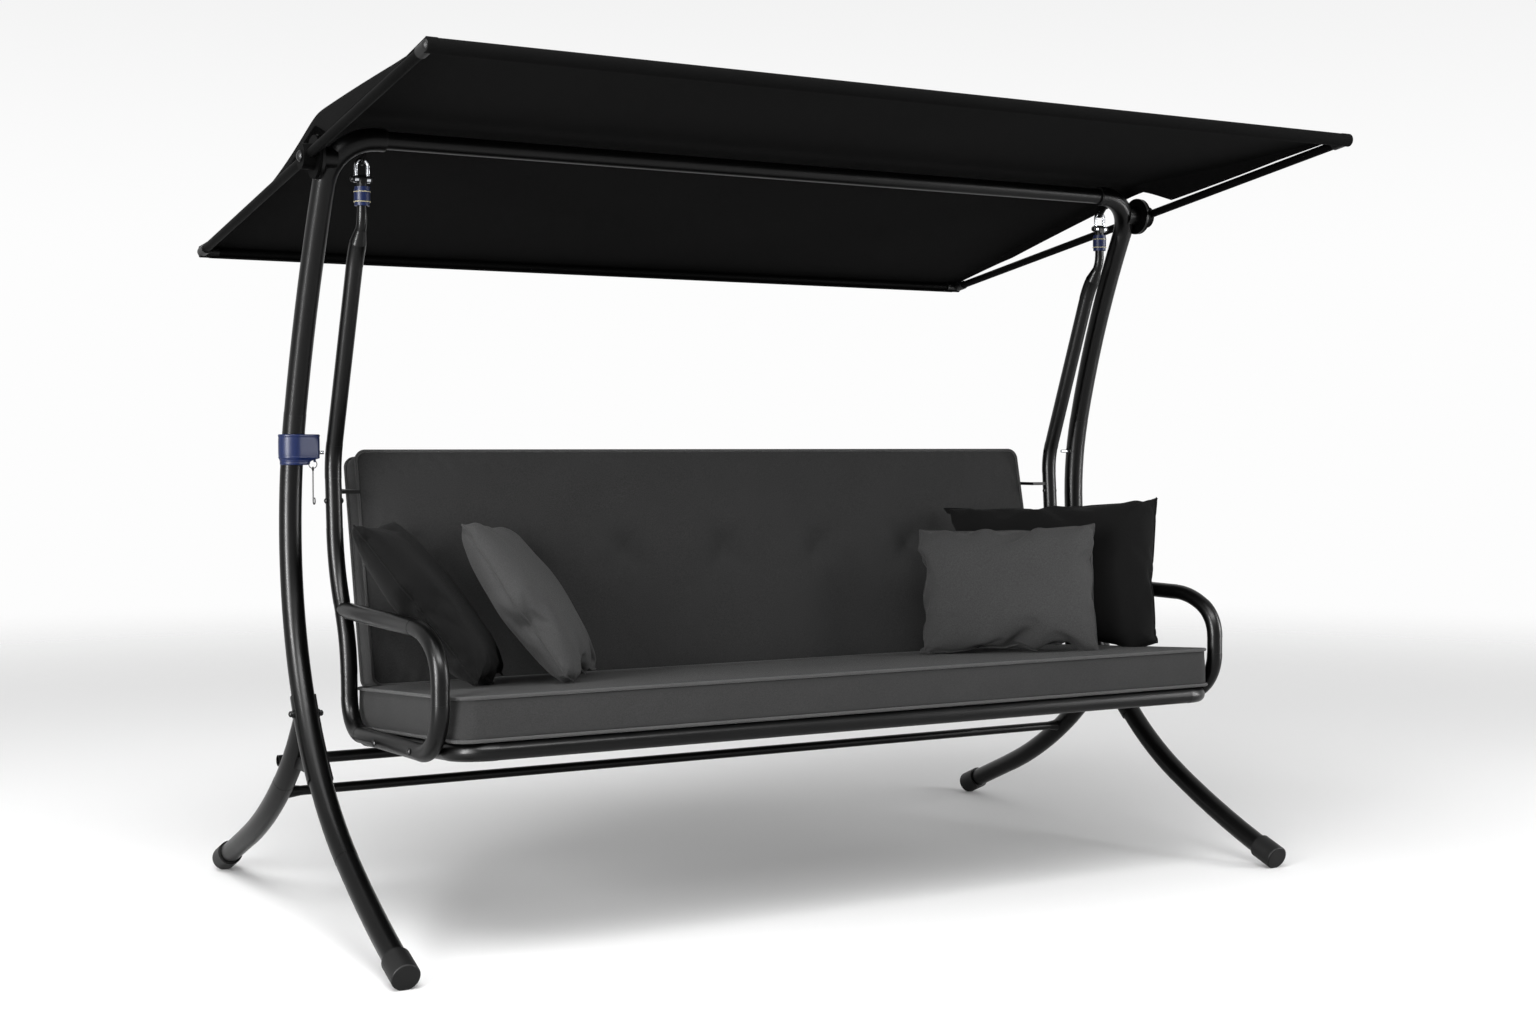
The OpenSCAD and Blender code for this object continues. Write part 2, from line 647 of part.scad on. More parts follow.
// A pillow is a rounded square between two large spheres. It stands on its lower
// edge on the seat cushion: the place of that edge, then its turn and its lean.
pillow_t = 120;
pillow_r = 800;
module pillow(x, y, turn, lean, w, h) {
  edge_t = pillow_t / 2 - h * h / 8 / pillow_r;
  on_seat() translate([x, y - seat_front_y, cushion_lift + seat_cushion_t + edge_t * sin(lean) + 0.4])
    rotate([0, 0, turn]) rotate([90 - lean, 0, 0]) translate([0, h / 2, 0])
      intersection() {
        translate([0, 0, -pillow_t / 2]) round_slab(w, h, pillow_t, 30);
        translate([0, 0, pillow_r - pillow_t / 2]) sphere(r = pillow_r, $fn = 240);
        translate([0, 0, pillow_t / 2 - pillow_r]) sphere(r = pillow_r, $fn = 240);
      }
}
module left_black_pillow() { color("#141414") pillow(-749, -180, 60, 36, 400, pillow_h); }
module left_grey_pillow() { color("#474749") pillow(-540, -190, 56, 33, 395, pillow_h - 20); }
module right_grey_pillow() { color("#474749") pillow(590, -215, -40, 14, 440, pillow_h - 100); }
module right_black_pillow() { color("#141414") pillow(754, -160, -50, 15, 570, pillow_h - 30); }

// ---- Swing lock -------------------------------------------------------------
lock_x = post_x(lock_z);
lock_tip = arm_x + arm_d / 2 + 4;
lobe_end = arm_x + arm_d / 2 + 13;
collar_d = post_d + 14;
collar_low = 13;
collar_high = 40;
lip_h = 14;
lobe_w = 30;
module post_cut(d) { side_frame() at(walk([post_rows[0]], front_foot)) bend(post_mid_r, -post_mid_a, d, 0); }
module lock_bore() { yz(lock_y, lock_z) bar_x(lock_tip - 40, lock_x, lock_pin_d + run_gap); }
module lock_collar() {
  lug_x = lobe_end + 15;
  color("#16284d") mirror([1, 0, 0]) difference() {
    union() {
      translate([lock_x, lock_y, lock_z]) {
        translate([0, 0, -collar_low]) cylinder(d = collar_d, h = collar_low + collar_high);
        translate([0, 0, -collar_low - lip_h]) cylinder(d = collar_d - 5, h = lip_h + 1);
      }
      translate([lobe_end, lock_y - lobe_w / 2, lock_z - collar_low])
        cube([lock_x - lobe_end, lobe_w, collar_low + collar_high]);
      translate([lug_x - 1.5, lock_y - 4, lock_z - collar_low - 8]) cube([3, 8, 9]);
    }
    post_cut(post_d + swell + 2 * seat_gap);
    lock_bore();
    yz(lock_y, lock_z - collar_low - 4) bar_x(lug_x - 5, lug_x + 5, ring_hole_d);
  }
}
module left_lock_pin() { color("#b8b8b8") mirror([1, 0, 0]) yz(lock_y, lock_z) bar_x(lock_tip, lock_tip + 40, lock_pin_d); }
// The right pin is kept inside the post and needs no collar
right_pin_tip = lock_tip + 18;
module right_lock_pin() {
  color("#b8b8b8") yz(lock_y, lock_z) bar_x(right_pin_tip, lock_x + post_d / 2 - 6, lock_pin_d);
}
module right_lock_bush() {
  color("#202020") difference() {
    yz(lock_y, lock_z) bar_x(lock_x - post_d / 2 - 4, lock_x, 18);
    post_cut(post_d + swell + seat_gap);
    lock_bore();
  }
}

// Split ring and R-clip that hang under the collar
clip_d = 2.6;
ring_r = 9;
ring_wire_d = 1.8;
ring_hole_d = 3.4;
ring_at = [lobe_end + 15, lock_z - collar_low - 4 - ring_r + 0.4];
module clip_ring() {
  color("#b8b8b8") mirror([1, 0, 0]) translate([ring_at[0], lock_y, ring_at[1]]) rotate([90, 0, 0])
    rotate_extrude() translate([ring_r, 0]) circle(d = ring_wire_d);
}
clip_l = 66;
clip_loop_r = 7;
eye_r = 4;
module r_clip() {
  color("#b8b8b8") mirror([1, 0, 0]) translate([ring_at[0], lock_y, ring_at[1] - ring_r - 1.4]) {
    rotate([0, 90, 0]) rotate_extrude() translate([eye_r, 0]) circle(d = clip_d);
    translate([0, 0, -eye_r - clip_l]) cylinder(d = clip_d, h = clip_l);
    translate([0, -clip_loop_r, -eye_r - clip_l]) rotate([90, 0, 90]) mirror([0, 1, 0])
      rotate_extrude(angle = 250) translate([clip_loop_r, 0]) circle(d = clip_d + 0.1);
  }
}

// ---- Canopy -----------------------------------------------------------------
pivot_y = beam_y + 14;
pivot_z = beam_z - 43;
pivot_disc_d = 92;
// The disc just clears the outside of the leaning post
bracket_face = post_x(pivot_z - pivot_disc_d / 2) + post_d / 2 + 1.6;
tube_x = bracket_face + 20;
pivot_d = 12;
hub_end = tube_x + 14;
module pivot() { yz(pivot_y, pivot_z) children(); }
module right_bracket() {
  difference() {
    pivot() {
      bar_x(bracket_face - 40, bracket_face - 5.5, 46);
      bar_x(bracket_face - 6, bracket_face, pivot_disc_d);
    }
    post_corner_cut(post_d + swell + seat_gap);
    pivot() bar_x(0, foot_span, pivot_d + seat_gap);
    // clears the inside of the corner
    translate([0, -200, 0]) cube([post_x(pivot_z) - 16, 400, 3000]);
  }
}
module left_pivot_bracket() { color("#141414") mirror([1, 0, 0]) right_bracket(); }
module right_pivot_bracket() { color("#141414") right_bracket(); }
module pivot_bolts() {
  color("#303030") both() pivot() {
    bar_x(bracket_face - 5.8, hub_end + 1, pivot_d);
    translate([hub_end + 0.2, 0, 0]) rotate([0, 90, 0]) dome(24, 8);
  }
}

// Everything below turns about the tilt axis: +Y runs back along the side tubes
module on_canopy() { translate([0, pivot_y, pivot_z]) rotate([-canopy_pitch, 0, 0]) children(); }
module right_hub() {
  on_canopy() difference() {
    union() {
      bar_x(bracket_face + 0.3, bracket_face + 7, 90);
      bar_x(bracket_face + 6.5, hub_end, 54);
    }
    bar_x(0, foot_span, pivot_d + run_gap);
    translate([tube_x, -50, 0]) rotate([-90, 0, 0]) cylinder(d = rail_d + seat_gap, h = 100);
  }
}
module left_canopy_hub() { color("#141414") mirror([1, 0, 0]) right_hub(); }
module right_canopy_hub() { color("#141414") right_hub(); }

corner_in = 16;
module right_tube() {
  on_canopy() difference() {
    translate([tube_x, -front_reach + corner_in, 0]) rotate([-90, 0, 0])
      linear_extrude(front_reach + rear_reach - 2 * corner_in) ring(rail_d, 1.5);
    bar_x(0, foot_span, pivot_d + run_gap);
  }
}
module left_canopy_tube() { color("#151515") mirror([1, 0, 0]) right_tube(); }
module right_canopy_tube() { color("#151515") right_tube(); }

module canopy_rail(y) { on_canopy() translate([0, y, 0]) pipe_x(-tube_x + corner_in, tube_x - corner_in, rail_d, 1.5); }
module front_canopy_rail() { color("#151515") canopy_rail(-front_reach); }
module rear_canopy_rail() { color("#151515") canopy_rail(rear_reach); }

// Moulded elbows that join the side tubes to the rails
elbow_d = 25;
elbow_l = 38;
module elbow(y, inward) {
  difference() {
    union() {
      translate([tube_x, y, 0]) {
        sphere(d = elbow_d);
        bar_x(-elbow_l, 0, elbow_d);
        rotate([inward > 0 ? -90 : 90, 0, 0]) cylinder(d = elbow_d, h = elbow_l);
      }
    }
    translate([tube_x, y, 0]) {
      bar_x(-elbow_l - 1, -corner_in + 0.5, rail_d + seat_gap);
      rotate([inward > 0 ? -90 : 90, 0, 0]) translate([0, 0, corner_in - 0.5])
        cylinder(d = rail_d + seat_gap, h = elbow_l);
    }
  }
}
module canopy_corners() {
  color("#101010") on_canopy() both() {
    elbow(-front_reach, 1);
    elbow(rear_reach, -1);
  }
}

// The fabric is one sheet that rises from the rails to a ridge over the beam
ridge_at = -25;
fabric_over = 14;
fabric_base = elbow_d / 2 - 0.8;
module canopy_fabric() {
  half = tube_x - 6;
  front = -front_reach - fabric_over;
  rear = rear_reach + fabric_over;
  color("#111111") on_canopy() rotate([90, 0, 90]) translate([0, 0, -half]) linear_extrude(2 * half)
    polygon([
      [front, fabric_base], [ridge_at, ridge_h], [rear, fabric_base],
      [rear, fabric_base + fabric_t], [ridge_at, ridge_h + fabric_t], [front, fabric_base + fabric_t]
    ]);
}

left_post();
right_post();
top_beam();
beam_bushes();
left_rear_leg();
right_rear_leg();
left_leg_saddle();
right_leg_saddle();
leg_bolts();
upper_stretcher();
lower_stretcher();
foot_caps();
left_hanger_lug();
right_hanger_lug();
left_pivot_bracket();
right_pivot_bracket();
pivot_bolts();
lock_collar();
left_lock_pin();
right_lock_bush();
right_lock_pin();
clip_ring();
r_clip();
left_canopy_hub();
right_canopy_hub();
left_canopy_tube();
right_canopy_tube();
front_canopy_rail();
rear_canopy_rail();
canopy_corners();
canopy_fabric();
left_shackle();
right_shackle();
shackle_bolts();
hanger_heads();
hanger_sleeves();
left_arm();
right_arm();
left_side_loop();
right_side_loop();
arm_spigots();
arm_bolts();
seat_frame();
seat_slats();
seat_bolts();
back_hinges();
stay_links();
back_frame();
back_slats();
stay_pins();
seat_cushion();
back_cushion();
left_black_pillow();
left_grey_pillow();
right_black_pillow();
right_grey_pillow();
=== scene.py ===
"""Looks of a canopy swing bench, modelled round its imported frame. Lengths are in metres.

The tubes, brackets and bolts are the frame's own meshes with a finish. The cushions, the
pillows and the canopy sheet are modelled here and stand in for the plain CAD solids.
"""

import math

import bpy
import numpy as np
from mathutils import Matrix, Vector


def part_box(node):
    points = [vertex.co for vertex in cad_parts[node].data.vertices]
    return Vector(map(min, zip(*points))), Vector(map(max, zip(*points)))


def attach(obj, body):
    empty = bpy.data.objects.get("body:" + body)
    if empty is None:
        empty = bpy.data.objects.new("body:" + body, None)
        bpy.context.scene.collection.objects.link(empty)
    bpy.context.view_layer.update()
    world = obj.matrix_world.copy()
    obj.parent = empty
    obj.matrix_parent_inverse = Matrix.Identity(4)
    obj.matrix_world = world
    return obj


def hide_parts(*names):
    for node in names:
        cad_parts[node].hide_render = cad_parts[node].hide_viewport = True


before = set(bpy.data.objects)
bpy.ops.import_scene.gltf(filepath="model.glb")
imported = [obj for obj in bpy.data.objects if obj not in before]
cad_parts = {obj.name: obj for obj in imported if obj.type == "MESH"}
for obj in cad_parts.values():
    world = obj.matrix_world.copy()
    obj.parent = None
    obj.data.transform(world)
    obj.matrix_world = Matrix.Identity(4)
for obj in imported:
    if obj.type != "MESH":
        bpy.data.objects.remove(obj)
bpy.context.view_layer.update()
ARM_X = 0.990
SEAT_TILT, BACK_LEAN, CANOPY_PITCH = 4, 12.5, 8.6  # degrees

# ---- Local frames ------------------------------------------------------------


def tilted(origin, y_axis, z_axis):
    """Local frame: its origin, and its x, y and z axes as rows."""
    return np.array(origin, float), np.array(
        [np.cross(y_axis, z_axis), y_axis, z_axis], float
    )


def placed(local, points):
    """Row-frame points: origin + x X + y Y + z Z."""
    return local[0] + np.asarray(points) @ local[1]


def sin(degrees):
    """Sine of an angle in degrees."""
    return math.sin(math.radians(degrees))


def cos(degrees):
    """Cosine of an angle in degrees."""
    return math.cos(math.radians(degrees))


# x runs across the bench. y runs to the rear on the seat and the canopy, and up the back.
SEAT = tilted(
    (0, -0.520, 0.424), (0, cos(SEAT_TILT), -sin(SEAT_TILT)), (0, sin(SEAT_TILT), cos(SEAT_TILT))
)
BACK = tilted(
    (0, 0.1654, 0.3771), (0, sin(BACK_LEAN), cos(BACK_LEAN)), (0, -cos(BACK_LEAN), sin(BACK_LEAN))
)
CANOPY = tilted(
    (0, -0.07737, 1.61698),
    (0, cos(CANOPY_PITCH), -sin(CANOPY_PITCH)),
    (0, sin(CANOPY_PITCH), cos(CANOPY_PITCH)),
)

# ---- Finishes ----------------------------------------------------------------


def linear(shade):
    """Linear colour of an sRGB hex: ((c + 0.055) / 1.055)^2.4, or c / 12.92 below 0.04."""
    c = [int(shade[i : i + 2], 16) / 255 for i in (1, 3, 5)]
    return [((v + 0.055) / 1.055) ** 2.4 if v > 0.04 else v / 12.92 for v in c] + [1]


def node(tree, kind, inputs=None, **settings):
    """Adds a shader node, sets its properties, and links or sets its inputs."""
    made = tree.nodes.new("ShaderNode" + kind)
    for name, value in settings.items():
        setattr(made, name, value)
    for name, value in (inputs or {}).items():
        if isinstance(value, bpy.types.NodeSocket):
            tree.links.new(value, made.inputs[name])
        else:
            made.inputs[name].default_value = value
    return made


def blank(name):
    """New material with an empty node tree."""
    made = bpy.data.materials.new(name)
    made.use_nodes = True
    made.node_tree.nodes.clear()
    return made, made.node_tree


def hard(name, shade, rough, grain, depth, spread=0.05, **principled):
    """Solid finish: one colour, a fine relief of the given grain, and uneven gloss."""
    made, tree = blank(name)
    place = node(tree, "TexCoord").outputs["Object"]
    fine = node(
        tree, "TexNoise", {"Vector": place, "Scale": 1 / grain, "Detail": 3.0}
    ).outputs["Fac"]
    broad = node(
        tree, "TexNoise", {"Vector": place, "Scale": 9.0, "Detail": 4.0}
    ).outputs["Fac"]
    gloss = node(
        tree,
        "MapRange",
        {
            "Value": broad, "From Min": 0.3, "From Max": 0.7,
            "To Min": rough - spread, "To Max": rough + spread,
        },
    ).outputs["Result"]
    relief = node(
        tree, "Bump", {"Height": fine, "Strength": 0.25, "Distance": depth}
    ).outputs["Normal"]
    inputs = {"Base Color": linear(shade), "Roughness": gloss, "Normal": relief}
    inputs.update(principled)
    surface = node(tree, "BsdfPrincipled", inputs).outputs["BSDF"]
    node(tree, "OutputMaterial", {"Surface": surface})
    return made


def woven(name, shade, fleck, pitch, depth, fuzz, shine=0.12):
    """Woven cloth: over-and-under threads from the piece's own "cut" coordinates, with mottled yarn.

    The relief is sin(2 pi u / pitch) sin(2 pi v / pitch), so threads cross at the pitch.
    """
    made, tree = blank(name)
    cut = node(tree, "Attribute", attribute_name="cut").outputs["Vector"]
    axes = node(tree, "SeparateXYZ", {"Vector": cut})
    waves = []
    for axis in "XY":
        turns = {0: axes.outputs[axis], 1: 2 * math.pi / pitch}
        angle = node(tree, "Math", turns, operation="MULTIPLY").outputs[0]
        waves.append(node(tree, "Math", {0: angle}, operation="SINE").outputs[0])
    threads = node(tree, "Math", {0: waves[0], 1: waves[1]}, operation="MULTIPLY").outputs[0]
    yarn = node(
        tree, "TexNoise", {"Vector": cut, "Scale": 420.0, "Detail": 3.0}
    ).outputs["Fac"]
    worn = node(tree, "TexNoise", {"Vector": cut, "Scale": 7.0, "Detail": 5.0}).outputs["Fac"]
    both = node(tree, "Math", {0: worn, 1: 0.25, 2: yarn}, operation="MULTIPLY_ADD").outputs[0]
    blend = node(
        tree,
        "MapRange",
        {"Value": both, "From Min": 0.4, "From Max": 0.85, "To Min": 0.0, "To Max": 1.0},
    ).outputs["Result"]
    colour = node(
        tree, "MixRGB", {"Fac": blend, "Color1": linear(shade), "Color2": linear(fleck)}
    ).outputs["Color"]
    height = node(
        tree, "Math", {0: yarn, 1: 0.6, 2: threads}, operation="MULTIPLY_ADD"
    ).outputs[0]
    relief = node(
        tree, "Bump", {"Height": height, "Strength": 0.35, "Distance": depth}
    ).outputs["Normal"]
    inputs = {
        "Base Color": colour,
        "Roughness": 0.92,
        "Normal": relief,
        "Sheen Weight": fuzz,
        "Sheen Roughness": 0.5,
        "Specular IOR Level": shine,
    }
    surface = node(tree, "BsdfPrincipled", inputs).outputs["BSDF"]
    node(tree, "OutputMaterial", {"Surface": surface})
    return made


# Satin black powder coat on bent steel tube, with the faint orange peel of baked powder
powder_coat = hard(
    "satin_powder_coat", "#030303", 0.31, 0.003, 0.00006, 0.03, **{"Specular IOR Level": 0.14}
)
# The same powder, baked duller, on the canopy's thinner tubes and its hubs
dull_coat = hard(
    "dull_powder_coat", "#030303", 0.55, 0.003, 0.00006, 0.03, **{"Specular IOR Level": 0.02}
)
# Blackened steel bolts, washers and pins
black_steel = hard("blackened_steel", "#0c0c0d", 0.4, 0.002, 0.0002, **{"Metallic": 0.6})
# Bright zinc plate on shackles, lock pins and clips
zinc = hard("bright_zinc", "#b9bbbf", 0.24, 0.003, 0.0002, 0.08, **{"Metallic": 1.0})
# Moulded rubber foot caps
rubber = hard("foot_rubber", "#060606", 0.5, 0.0015, 0.0003, **{"Specular IOR Level": 0.16})
# Moulded black plastic bushes, hanger heads and canopy corners
black_plastic = hard(
    "moulded_black_plastic", "#050505", 0.42, 0.0012, 0.0002, **{"Specular IOR Level": 0.16}
)
# Satin navy plastic of the hanger sleeves and the lock collar
navy_plastic = hard(
    "navy_plastic", "#0a1940", 0.42, 0.006, 0.00003, 0.02, **{"Specular IOR Level": 0.18}
)
# Cream plastic rings on the sleeves
cream_plastic = hard("cream_plastic", "#a8a080", 0.4, 0.002, 0.0001)
# Anthracite woven upholstery of the seat and back cushions
anthracite_weave = woven("anthracite_weave", "#222222", "#303030", 0.0026, 0.0006, 0.05)
# Piping cord covered in the same weave. Its lighter colour is a painted highlight along the seams, and
# it has more sheen.
piping_weave_painted_highlight = woven("piping_weave_painted_highlight", "#383838", "#464646", 0.0026, 0.0005, 0.15)
# Black cotton pillow covers
black_cotton = woven("black_cotton", "#090909", "#0e0e0e", 0.0016, 0.0004, 0.03, 0.06)
# Dark grey cotton pillow covers
grey_cotton = woven("grey_cotton", "#333333", "#424242", 0.0018, 0.0005, 0.06)
# Coated black outdoor cloth of the canopy
canopy_cloth = woven("coated_canopy_cloth", "#060606", "#090909", 0.0014, 0.0003, 0.0, 0.03)

# ---- Meshes ------------------------------------------------------------------


def grid_faces(ids):
    """Quads between neighbouring points of a grid of point numbers."""
    return np.stack([ids[:-1, :-1], ids[1:, :-1], ids[1:, 1:], ids[:-1, 1:]], -1).reshape(-1, 4)


def border(n, m):
    """Numbers of the points round the edge of an n x m grid, anticlockwise from above."""
    ids = np.arange(n * m).reshape(n, m)
    return np.concatenate([ids[:-1, 0], ids[-1, :-1], ids[:0:-1, -1], ids[0, :0:-1]])


def piece(name, points, faces, finish, body, cut=None):
    """Mesh object that rides on a body. cut holds each point's place on the flat cloth."""
    mesh = bpy.data.meshes.new(name)
    mesh.from_pydata(np.asarray(points).reshape(-1, 3).tolist(), [], np.asarray(faces).tolist())
    mesh.shade_smooth()
    mesh.materials.append(finish)
    if cut is not None:
        held = mesh.attributes.new("cut", "FLOAT_VECTOR", "POINT")
        held.data.foreach_set("vector", np.asarray(cut, np.float32).ravel())
    made = bpy.data.objects.new(name, mesh)
    bpy.context.scene.collection.objects.link(made)
    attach(made, body)
    return made


def smoothed(made, levels=1):
    """Adds subdivision, at the same level in view and render."""
    fine = made.modifiers.new("smooth", "SUBSURF")
    fine.levels = fine.render_levels = levels
    return made


def cord_piece(name, path, up, radius, finish, body, closed=True, sides=8):
    """Round cord along a path: path + r (cos a S + sin a O), S = T x up, O = S x T."""
    path = np.asarray(path, float)
    if closed:
        ahead = np.roll(path, -1, 0) - np.roll(path, 1, 0)
    else:
        ahead = np.gradient(path, axis=0)
    ahead /= np.linalg.norm(ahead, axis=1, keepdims=True)
    side = np.cross(ahead, up)
    side /= np.linalg.norm(side, axis=1, keepdims=True)
    over = np.cross(side, ahead)
    a = np.linspace(0, 2 * np.pi, sides, endpoint=False)[None, :, None]
    rings = path[:, None] + radius * (np.cos(a) * side[:, None] + np.sin(a) * over[:, None])
    ids = np.arange(len(path) * sides).reshape(len(path), sides)
    ids = np.hstack([ids, ids[:, :1]])
    if closed:
        ids = np.vstack([ids, ids[:1]])
    along = np.concatenate([[0], np.cumsum(np.linalg.norm(np.diff(path, axis=0), axis=1))])
    round_it = np.arange(sides) * 2 * np.pi * radius / sides
    cut = np.stack(np.broadcast_arrays(along[:, None], round_it[None], 0), -1)
    return piece(name, rings, grid_faces(ids), finish, body, cut)


def eased(half, n):
    """Positions from -half to half, closer at both ends: half (t + 0.6 sin(pi t) / pi)."""
    t = np.linspace(-1, 1, n)
    return half * (t + 0.6 * np.sin(np.pi * t) / np.pi)


def ripples(x, y, length, seed):
    """Soft unevenness between about -1 and 1: a sum of six waves in random directions."""
    r = np.random.default_rng(seed)
    total = 0 * x
    for _ in range(6):
        angle, phase, k = r.uniform(0, 2 * np.pi), r.uniform(0, 2 * np.pi), r.uniform(0.6, 1.6)
        total = total + np.sin(2 * np.pi * k * (x * np.cos(angle) + y * np.sin(angle)) / length + phase)
    return total / 3


# ---- Cushions ----------------------------------------------------------------


def cushion(name, local, centre, size, corner, crown, dents, grid, body):
    """Boxed cushion with piping round both faces.

    Faces rise by crown (1 - e^(-dx/c)) (1 - e^(-dy/c)) from the piping, with dx and dy the
    distances to the edges; small puckers fade with distance from the seam, and the side band
    bulges by 4 s (1 - s) times its bulge.
    """
    w, l, t = size
    n, m = grid
    u, v = np.meshgrid(eased(w / 2, n), eased(l / 2, m), indexing="ij")
    a = np.maximum(np.abs(u) - (w / 2 - corner), 0) / corner
    b = np.maximum(np.abs(v) - (l / 2 - corner), 0) / corner
    x = u + np.sign(u) * corner * a * (np.sqrt(1 - b * b / 2) - 1)
    y = v + np.sign(v) * corner * b * (np.sqrt(1 - a * a / 2) - 1)
    dx, dy = w / 2 - np.abs(u), l / 2 - np.abs(v)
    rise = (1 - np.exp(-dx / 0.022)) * (1 - np.exp(-dy / 0.022))
    near = np.exp(-np.minimum(dx, dy) / 0.03)
    pucker = 0.0016 * near * rise * ripples(u, v, 0.045, 3) * 2
    unevenness = 0.0014 * rise * ripples(u, v, 0.32, 5)
    front = t / 2 + rise * crown + pucker + unevenness + dents(u, v) * rise
    rear = -t / 2 - rise * 0.001
    faces = [np.stack([x, y, z], -1).reshape(-1, 3) for z in (front, rear)]
    loop = border(n, m)
    edge, under = faces[0][loop], faces[1][loop]
    ahead = np.roll(edge, -1, 0) - np.roll(edge, 1, 0)
    out = np.stack([ahead[:, 1], -ahead[:, 0], 0 * ahead[:, 0]], -1)
    out /= np.linalg.norm(out, axis=1, keepdims=True)
    along = np.concatenate([[0], np.cumsum(np.linalg.norm(np.diff(edge, axis=0), axis=1))])
    rows_between = 6
    s = np.linspace(0, 1, rows_between + 2)[1:-1, None, None]
    swell = 0.003 + 0.001 * ripples(along, 0 * along, 0.16, 9)[None, :, None]
    band = (1 - s) * edge + s * under + 4 * s * (1 - s) * swell * out - 0.002 * out
    points = np.concatenate([faces[0], faces[1], band.reshape(-1, 3)])
    ids = np.arange(n * m).reshape(n, m)
    between = 2 * n * m + np.arange(len(loop) * rows_between).reshape(rows_between, -1)
    rows = np.vstack([loop, between, n * m + loop])
    rows = np.hstack([rows, rows[:, :1]])
    quads = np.concatenate([grid_faces(ids), grid_faces(n * m + ids)[:, ::-1], grid_faces(rows)])
    cut = points.copy()
    cut[2 * n * m :, 0] = np.tile(along, rows_between)
    cut[2 * n * m :, 1] = np.repeat(s[:, 0, 0] * t, len(loop))
    points = points + np.array(centre)
    made = smoothed(piece(name, placed(local, points), quads, anthracite_weave, body, cut))
    # The piping's lighter colour is a painted highlight along both seams.
    for label, line, lift in (("front", edge, 0.0005), ("rear", under, -0.0005)):
        cord_piece(
            f"{name}_{label}_piping",
            placed(local, line + 0.0012 * out + (0, 0, lift) + np.array(centre)),
            local[1][2],
            0.0036,
            piping_weave_painted_highlight,
            body,
        )
    return made


def three_places(x, y):
    """The seat sinks a little where each of three people sits."""
    places = sum(np.exp(-(((x - c) / 0.2) ** 2) - ((y + 0.02) / 0.2) ** 2) for c in (-0.62, 0, 0.62))
    return -0.002 * places


def tufts(x, y):
    """Seven dimples in a row: a pit e^(-(r/s)^2) with four soft folds running out of it."""
    total = 0 * x
    for c in (-0.81, -0.54, -0.27, 0, 0.27, 0.54, 0.81):
        dx, dy = x - c, y - 0.023
        r, turn = np.hypot(dx, dy) + 1e-6, np.arctan2(dy, dx)
        total = total - 0.019 * np.exp(-((r / 0.040) ** 2)) - 0.013 * np.exp(-r / 0.016)
        folds = np.cos(4 * turn + 0.4 * c) * np.exp(-(((r - 0.05) / 0.04) ** 2))
        total = total + 0.003 * folds
    return total


seat_cushion = cushion(
    "seat_cushion_cover", SEAT, (0, 0.310, 0.0644), (1.918, 0.634, 0.083), 0.04, 0.006,
    three_places, (120, 46), "seat",
)
back_cushion = cushion(
    "back_cushion_cover", BACK, (0, 0.361, 0.0519), (1.838, 0.528, 0.076), 0.022, 0.007,
    tufts, (180, 56), "back",
)
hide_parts("seat_cushion")
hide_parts("back_cushion")

# ---- Pillows -----------------------------------------------------------------


def inflated(points, faces, frames=24):
    """Cloth cover filled by an even pressure, without weight, and left as it settles."""
    mesh = bpy.data.meshes.new("filling")
    mesh.from_pydata(points.tolist(), [], faces.tolist())
    bag = bpy.data.objects.new("filling", mesh)
    bpy.context.scene.collection.objects.link(bag)
    cloth = bag.modifiers.new("cloth", "CLOTH")
    cloth.point_cache.frame_end = frames
    s = cloth.settings
    s.quality, s.mass, s.air_damping = 7, 0.15, 3.0
    s.tension_stiffness = s.compression_stiffness = 30
    s.shear_stiffness, s.bending_stiffness = 12, 0.4
    s.use_pressure, s.uniform_pressure_force = True, 7.0
    s.effector_weights.gravity = 0
    for f in range(1, frames + 1):
        bpy.context.scene.frame_set(f)
    shown = bag.evaluated_get(bpy.context.evaluated_depsgraph_get())
    settled = np.empty(len(points) * 3)
    shown.data.vertices.foreach_get("co", settled)
    bpy.context.scene.frame_set(1)
    bpy.data.objects.remove(bag)
    bpy.data.meshes.remove(mesh)
    return settled.reshape(-1, 3)


